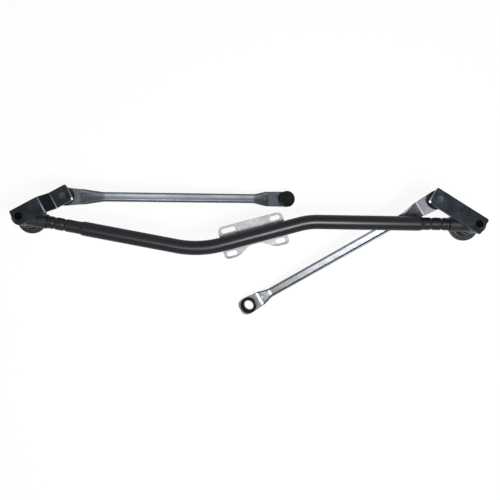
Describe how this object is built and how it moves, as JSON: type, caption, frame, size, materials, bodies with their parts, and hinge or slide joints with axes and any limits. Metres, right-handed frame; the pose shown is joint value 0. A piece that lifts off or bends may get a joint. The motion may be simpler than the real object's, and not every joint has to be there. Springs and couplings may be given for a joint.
{
  "type": "windshield wiper linkage",
  "caption": "Windshield wiper transmission: a bent frame tube joining two pivot housings, with crank levers and ball-jointed link rods, ready for a motor.",
  "frame": {"origin": "centre of the mounting bracket's seating face", "axes": "+X from the left pivot towards the right pivot, +Z along the spindles towards the crank side, +Y completes the right-handed frame"},
  "size_m": [0.667, 0.1882, 0.1128],
  "materials": {
    "tube_coat": "gloss black electrocoat",
    "bracket_zinc": "bright zinc plate, satin",
    "cast_housing": "die cast, satin",
    "bearing_bronze": "sintered, matt",
    "black_rubber": "matt",
    "plated_steel": "zinc plated, satin",
    "spindle_steel": "ground, bright",
    "lever_steel": "blue-grey passivated, satin",
    "stud_steel": "hardened, satin",
    "white_nylon": "matt",
    "spring_steel": "phosphated, satin",
    "boot_rubber": "matt",
    "black_acetal": "satin",
    "rod_zinc": "zinc plate, satin"
  },
  "bodies": {
    "frame": {"frame_tube": "tube_coat", "mounting_bracket": "bracket_zinc", "left_pivot_housing": "cast_housing", "left_inner_bush": "bearing_bronze", "left_outer_bush": "bearing_bronze", "left_o_ring": "black_rubber", "left_panel_gasket": "black_rubber", "left_clamp_washer": "plated_steel", "left_clamp_nut": "plated_steel", "right_pivot_housing": "cast_housing", "right_inner_bush": "bearing_bronze", "right_outer_bush": "bearing_bronze", "right_o_ring": "black_rubber", "right_panel_gasket": "black_rubber", "right_clamp_washer": "plated_steel", "right_clamp_nut": "plated_steel"},
    "left_crank": {"left_spindle": "spindle_steel", "left_crank_lever": "lever_steel", "left_ball_stud": "stud_steel", "left_thrust_washer": "white_nylon", "left_retaining_ring": "spring_steel"},
    "left_boot": {"left_ball_boot": "boot_rubber"},
    "left_socket": {"left_near_socket": "black_acetal"},
    "left_rod": {"left_link_rod": "rod_zinc", "left_free_socket": "black_acetal"},
    "right_crank": {"right_spindle": "spindle_steel", "right_crank_lever": "lever_steel", "right_ball_stud": "stud_steel", "right_thrust_washer": "white_nylon", "right_retaining_ring": "spring_steel"},
    "right_boot": {"right_ball_boot": "boot_rubber"},
    "right_socket": {"right_near_socket": "black_acetal"},
    "right_rod": {"right_link_rod": "rod_zinc", "right_free_socket": "black_acetal"}
  },
  "joints": [
    {"name": "left_spindle_turn", "type": "hinge", "parent": "frame", "child": "left_crank", "pos_m": [-0.3195, 0.02, 0.031], "axis": [0, 0, 1], "range_deg": [-10, 80]},
    {"name": "left_boot_turn", "type": "hinge", "parent": "left_crank", "child": "left_boot", "pos_m": [-0.2644, 0.05054, -0.003], "axis": [0, 0, 1], "range_deg": [-80, 10]},
    {"name": "left_ball_tilt", "type": "hinge", "parent": "left_boot", "child": "left_socket", "pos_m": [-0.2644, 0.05054, -0.003], "axis": [0.0223, -0.9998, 0], "range_deg": [0, 8]},
    {"name": "left_rod_swing", "type": "hinge", "parent": "left_socket", "child": "left_rod", "pos_m": [-0.2644, 0.05054, -0.003], "axis": [0.201, 0.0045, 0.9796], "range_deg": [-10, 30]},
    {"name": "right_spindle_turn", "type": "hinge", "parent": "frame", "child": "right_crank", "pos_m": [0.3045, 0.02, 0.031], "axis": [0, 0, 1], "range_deg": [-85, 0]},
    {"name": "right_boot_turn", "type": "hinge", "parent": "right_crank", "child": "right_boot", "pos_m": [0.25067, 0.05273, 0.011], "axis": [0, 0, 1], "range_deg": [0, 85]},
    {"name": "right_ball_tilt", "type": "hinge", "parent": "right_boot", "child": "right_socket", "pos_m": [0.25067, 0.05273, 0.011], "axis": [-0.525, 0.8511, 0], "range_deg": [0, 3]},
    {"name": "right_rod_swing", "type": "hinge", "parent": "right_socket", "child": "right_rod", "pos_m": [0.25067, 0.05273, 0.011], "axis": [-0.23, -0.1419, 0.9628], "range_deg": [-6, 2]}
  ],
  "couplings": [
    {"joint": "left_boot_turn", "follows": "left_spindle_turn", "ratio": -1},
    {"joint": "right_boot_turn", "follows": "right_spindle_turn", "ratio": -1}
  ]
}
